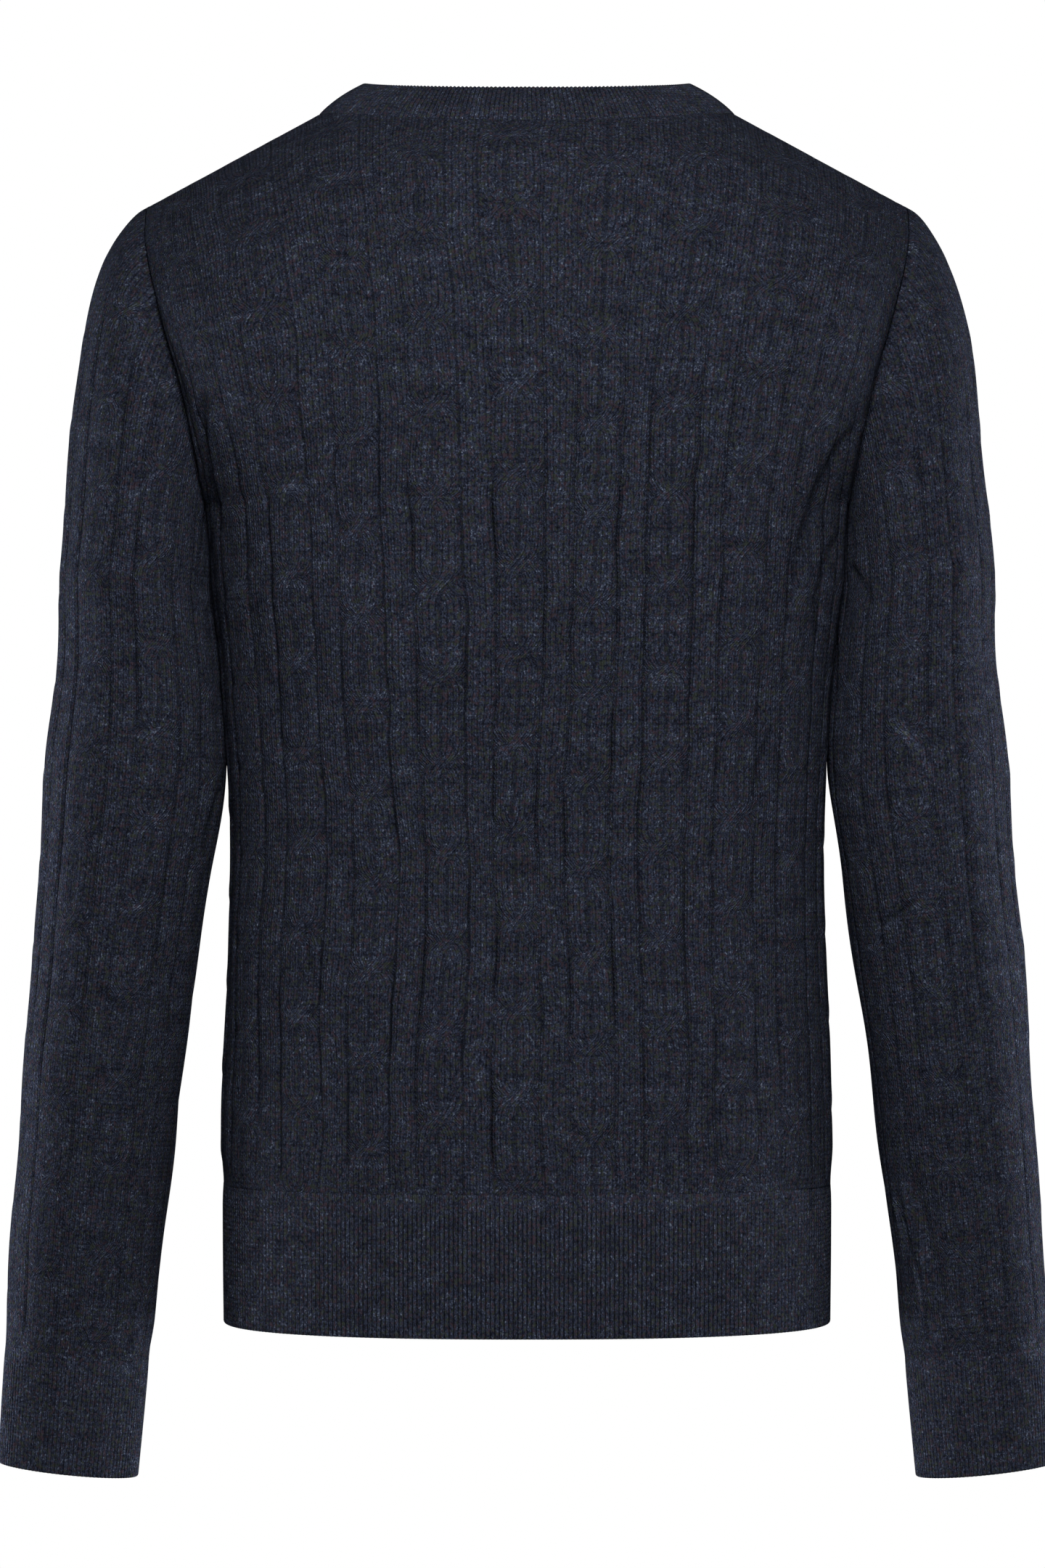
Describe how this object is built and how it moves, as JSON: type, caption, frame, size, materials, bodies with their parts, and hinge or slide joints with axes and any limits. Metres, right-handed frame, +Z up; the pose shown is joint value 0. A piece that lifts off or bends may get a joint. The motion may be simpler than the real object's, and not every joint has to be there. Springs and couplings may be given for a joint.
{
  "type": "cable knit cardigan",
  "caption": "Long-sleeved cable knit cardigan with ribbed hem, cuffs, neckband and buttoned front, filled out as worn, open at neck, hem and cuffs.",
  "frame": {"origin": "midway between the high points of the two shoulders, at the base of the neck, where the wearer holds the garment up", "axes": "+Z up, +X to the wearer's right, +Y to the wearer's front; the pictured back faces -Y"},
  "size_m": [0.5264, 0.2126, 0.6927],
  "materials": {
    "wool_knit": "matte dark navy melange wool in a cable pattern",
    "wool_rib": "matte dark navy melange wool in a narrow rib",
    "button": "dark navy polyester, satin gloss"
  },
  "bodies": {
    "root": {"back": "wool_knit", "back_hem_rib": "wool_rib", "front_right": "wool_knit", "front_right_hem_rib": "wool_rib", "front_left": "wool_knit", "front_left_hem_rib": "wool_rib", "sleeve_right": "wool_knit", "sleeve_left": "wool_knit", "cuff_right": "wool_rib", "cuff_left": "wool_rib", "neckband": "wool_rib", "buttonhole_band": "wool_rib", "button_band": "wool_rib", "button_1": "button", "button_2": "button", "button_3": "button", "button_4": "button", "button_5": "button", "button_6": "button", "button_7": "button"}
  },
  "joints": []
}
